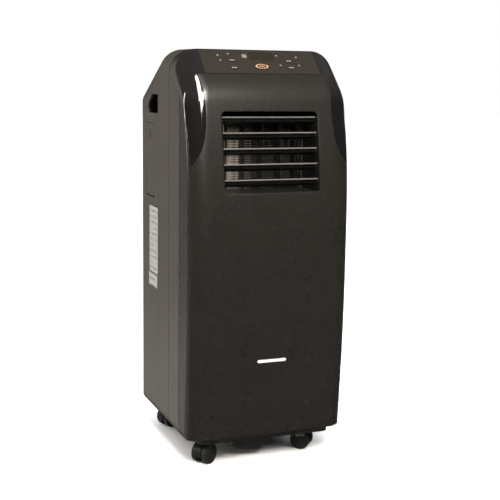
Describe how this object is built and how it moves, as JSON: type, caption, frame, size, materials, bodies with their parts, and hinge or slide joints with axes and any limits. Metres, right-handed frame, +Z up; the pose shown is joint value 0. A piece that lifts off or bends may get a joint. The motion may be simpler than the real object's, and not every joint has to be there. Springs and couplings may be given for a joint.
{
  "type": "portable air conditioner",
  "caption": "Upright portable air conditioner with a bowed front, sloping control panel, louvered air outlet, rear exhaust collar and swivel casters.",
  "frame": {"origin": "on the floor, under the middle of the overall box", "axes": "+Z up, front with the air outlet faces -Y, +X to the right of someone looking at the front from outside"},
  "size_m": [0.299, 0.326, 0.729],
  "materials": {
    "charcoal_front": "satin charcoal, fine mottled sheen",
    "taupe_side": "semi-gloss brown grey",
    "piano_black": "piano black gloss",
    "panel_brown": "satin dark brown film",
    "smoked_window": "smoked display window",
    "key_grey": "light grey key caps",
    "power_copper": "copper tinted power key",
    "lamp_clear": "small indicator lenses",
    "louver_grey": "satin dark grey blades",
    "duct_foam": "beige foam and guard",
    "black_plastic": "matt black",
    "housing_grey": "moulded grey",
    "label_white": "blank white label",
    "badge_silver": "satin silver bar",
    "zinc_steel": "zinc plated sheet",
    "pan_plastic": "dark grey tray",
    "compressor_black": "black painted steel",
    "copper": "copper tube",
    "coil_fins": "aluminium fins",
    "motor_steel": "painted motor can",
    "board_green": "circuit board",
    "filter_mesh": "filter mesh",
    "caster_black": "matt black nylon",
    "caster_tread": "wheel tread"
  },
  "bodies": {
    "cabinet": {"front_cover": "charcoal_front", "front_frame": "taupe_side", "rear_casing": "taupe_side", "control_fascia": "piano_black", "control_inlay": "panel_brown", "display_window": "smoked_window", "indicator_lamps": "lamp_clear", "control_board": "board_green", "louver_frame": "black_plastic", "discharge_guard": "duct_foam", "air_duct": "duct_foam", "side_labels": "label_white", "front_badge": "badge_silver", "lower_grille": "taupe_side", "exhaust_collar": "taupe_side", "cord_gland": "black_plastic", "base_pan": "pan_plastic", "sump_tub": "black_plastic", "compressor": "compressor_black", "refrigerant_pipes": "copper", "partition": "zinc_steel", "evaporator_coil": "coil_fins", "condenser_coil": "coil_fins", "blower_motor": "motor_steel", "blower_housing": "housing_grey", "fan_motor": "motor_steel", "fan_housing": "housing_grey", "electrical_box": "housing_grey", "screws": "zinc_steel"},
    "power_button": {"power_button": "power_copper"},
    "fan_key": {"fan_key": "key_grey"},
    "mode_key": {"mode_key": "key_grey"},
    "up_key": {"up_key": "key_grey"},
    "down_key": {"down_key": "key_grey"},
    "louver_blade_1": {"louver_blade_1": "louver_grey"},
    "louver_blade_2": {"louver_blade_2": "louver_grey"},
    "louver_blade_3": {"louver_blade_3": "louver_grey"},
    "louver_blade_4": {"louver_blade_4": "louver_grey"},
    "louver_blade_5": {"louver_blade_5": "louver_grey"},
    "louver_link": {"louver_link": "black_plastic"},
    "vane_1": {"vane_1": "black_plastic"},
    "vane_2": {"vane_2": "black_plastic"},
    "vane_3": {"vane_3": "black_plastic"},
    "vane_4": {"vane_4": "black_plastic"},
    "vane_5": {"vane_5": "black_plastic"},
    "vane_link": {"vane_link": "black_plastic"},
    "blower_wheel": {"blower_wheel": "black_plastic"},
    "condenser_fan": {"condenser_fan": "black_plastic"},
    "intake_cassette": {"intake_grille": "taupe_side", "air_filter": "filter_mesh"},
    "pocket_door": {"pocket_door": "taupe_side"},
    "drain_cap": {"drain_cap": "black_plastic"},
    "caster_front_left": {"caster_fork_front_left": "caster_black"},
    "wheels_front_left": {"caster_wheels_front_left": "caster_tread"},
    "caster_front_right": {"caster_fork_front_right": "caster_black"},
    "wheels_front_right": {"caster_wheels_front_right": "caster_tread"},
    "caster_rear_left": {"caster_fork_rear_left": "caster_black"},
    "wheels_rear_left": {"caster_wheels_rear_left": "caster_tread"},
    "caster_rear_right": {"caster_fork_rear_right": "caster_black"},
    "wheels_rear_right": {"caster_wheels_rear_right": "caster_tread"}
  },
  "joints": [
    {"name": "power_button_press", "type": "slide", "parent": "cabinet", "child": "power_button", "axis": [0, 0.6733, -0.7393], "range_m": [0, 0.0008], "stiffness_N_per_m": 1000, "springref_m": -0.0004},
    {"name": "fan_key_press", "type": "slide", "parent": "cabinet", "child": "fan_key", "axis": [0, 0.6733, -0.7393], "range_m": [0, 0.0008], "stiffness_N_per_m": 1000, "springref_m": -0.0004},
    {"name": "mode_key_press", "type": "slide", "parent": "cabinet", "child": "mode_key", "axis": [0, 0.6733, -0.7393], "range_m": [0, 0.0008], "stiffness_N_per_m": 1000, "springref_m": -0.0004},
    {"name": "up_key_press", "type": "slide", "parent": "cabinet", "child": "up_key", "axis": [0, 0.6733, -0.7393], "range_m": [0, 0.0008], "stiffness_N_per_m": 1000, "springref_m": -0.0004},
    {"name": "down_key_press", "type": "slide", "parent": "cabinet", "child": "down_key", "axis": [0, 0.6733, -0.7393], "range_m": [0, 0.0008], "stiffness_N_per_m": 1000, "springref_m": -0.0004},
    {"name": "louver_tilt", "type": "hinge", "parent": "cabinet", "child": "louver_blade_1", "pos_m": [0, -0.12009, 0.60846], "axis": [1, 0, 0], "range_deg": [-20, 45]},
    {"name": "blade_2_tilt", "type": "hinge", "parent": "cabinet", "child": "louver_blade_2", "pos_m": [0, -0.12507, 0.58196], "axis": [1, 0, 0], "range_deg": [-20, 45]},
    {"name": "blade_3_tilt", "type": "hinge", "parent": "cabinet", "child": "louver_blade_3", "pos_m": [0, -0.12954, 0.55546], "axis": [1, 0, 0], "range_deg": [-20, 45]},
    {"name": "blade_4_tilt", "type": "hinge", "parent": "cabinet", "child": "louver_blade_4", "pos_m": [0, -0.13353, 0.52896], "axis": [1, 0, 0], "range_deg": [-20, 45]},
    {"name": "blade_5_tilt", "type": "hinge", "parent": "cabinet", "child": "louver_blade_5", "pos_m": [0, -0.13702, 0.50246], "axis": [1, 0, 0], "range_deg": [-20, 45]},
    {"name": "louver_link_turn", "type": "hinge", "parent": "louver_blade_1", "child": "louver_link", "pos_m": [-0.078, -0.11171, 0.60302], "axis": [1, 0, 0], "range_deg": [-45, 20]},
    {"name": "vane_swing", "type": "hinge", "parent": "cabinet", "child": "vane_1", "pos_m": [-0.068, -0.091, 0.55], "axis": [0, 0, 1], "range_deg": [-35, 35]},
    {"name": "vane_2_swing", "type": "hinge", "parent": "cabinet", "child": "vane_2", "pos_m": [-0.034, -0.091, 0.55], "axis": [0, 0, 1], "range_deg": [-35, 35]},
    {"name": "vane_3_swing", "type": "hinge", "parent": "cabinet", "child": "vane_3", "pos_m": [0, -0.091, 0.55], "axis": [0, 0, 1], "range_deg": [-35, 35]},
    {"name": "vane_4_swing", "type": "hinge", "parent": "cabinet", "child": "vane_4", "pos_m": [0.034, -0.091, 0.55], "axis": [0, 0, 1], "range_deg": [-35, 35]},
    {"name": "vane_5_swing", "type": "hinge", "parent": "cabinet", "child": "vane_5", "pos_m": [0.068, -0.091, 0.55], "axis": [0, 0, 1], "range_deg": [-35, 35]},
    {"name": "vane_link_turn", "type": "hinge", "parent": "vane_1", "child": "vane_link", "pos_m": [-0.068, -0.082, 0.494], "axis": [0, 0, 1], "range_deg": [-35, 35]},
    {"name": "blower_spin", "type": "hinge", "parent": "cabinet", "child": "blower_wheel", "pos_m": [0, -0.042, 0.388], "axis": [0, 1, 0], "continuous": true},
    {"name": "condenser_fan_spin", "type": "hinge", "parent": "cabinet", "child": "condenser_fan", "pos_m": [0.052, 0.014, 0.204], "axis": [0, 1, 0], "continuous": true},
    {"name": "cassette_pull", "type": "slide", "parent": "cabinet", "child": "intake_cassette", "axis": [0, 1, 0], "range_m": [0, 0.06]},
    {"name": "pocket_door_swing", "type": "hinge", "parent": "cabinet", "child": "pocket_door", "pos_m": [-0.1463, 0.08675, 0.463], "axis": [0, -1, 0], "range_deg": [0, 75]},
    {"name": "drain_cap_pull", "type": "slide", "parent": "cabinet", "child": "drain_cap", "axis": [0, 1, 0], "range_m": [0, 0.03]},
    {"name": "swivel_front_left", "type": "hinge", "parent": "cabinet", "child": "caster_front_left", "pos_m": [-0.0982, -0.104, 0.04], "axis": [0, 0, 1], "continuous": true},
    {"name": "roll_front_left", "type": "hinge", "parent": "caster_front_left", "child": "wheels_front_left", "pos_m": [-0.10721, -0.11031, 0.018], "axis": [0.5736, -0.8192, 0], "continuous": true},
    {"name": "swivel_front_right", "type": "hinge", "parent": "cabinet", "child": "caster_front_right", "pos_m": [0.0982, -0.104, 0.04], "axis": [0, 0, 1], "continuous": true},
    {"name": "roll_front_right", "type": "hinge", "parent": "caster_front_right", "child": "wheels_front_right", "pos_m": [0.08977, -0.09693, 0.018], "axis": [-0.6428, -0.766, 0], "continuous": true},
    {"name": "swivel_rear_left", "type": "hinge", "parent": "cabinet", "child": "caster_rear_left", "pos_m": [-0.0982, 0.104, 0.04], "axis": [0, 0, 1], "continuous": true},
    {"name": "roll_rear_left", "type": "hinge", "parent": "caster_rear_left", "child": "wheels_rear_left", "pos_m": [-0.10854, 0.10024, 0.018], "axis": [0.342, -0.9397, 0], "continuous": true},
    {"name": "swivel_rear_right", "type": "hinge", "parent": "cabinet", "child": "caster_rear_right", "pos_m": [0.0982, 0.104, 0.04], "axis": [0, 0, 1], "continuous": true},
    {"name": "roll_rear_right", "type": "hinge", "parent": "caster_rear_right", "child": "wheels_rear_right", "pos_m": [0.08758, 0.10685, 0.018], "axis": [-0.2588, -0.9659, 0], "continuous": true}
  ],
  "couplings": [
    {"joint": "blade_2_tilt", "follows": "louver_tilt", "ratio": 1},
    {"joint": "blade_3_tilt", "follows": "louver_tilt", "ratio": 1},
    {"joint": "blade_4_tilt", "follows": "louver_tilt", "ratio": 1},
    {"joint": "blade_5_tilt", "follows": "louver_tilt", "ratio": 1},
    {"joint": "louver_link_turn", "follows": "louver_tilt", "ratio": -1},
    {"joint": "vane_2_swing", "follows": "vane_swing", "ratio": 1},
    {"joint": "vane_3_swing", "follows": "vane_swing", "ratio": 1},
    {"joint": "vane_4_swing", "follows": "vane_swing", "ratio": 1},
    {"joint": "vane_5_swing", "follows": "vane_swing", "ratio": 1},
    {"joint": "vane_link_turn", "follows": "vane_swing", "ratio": -1}
  ]
}
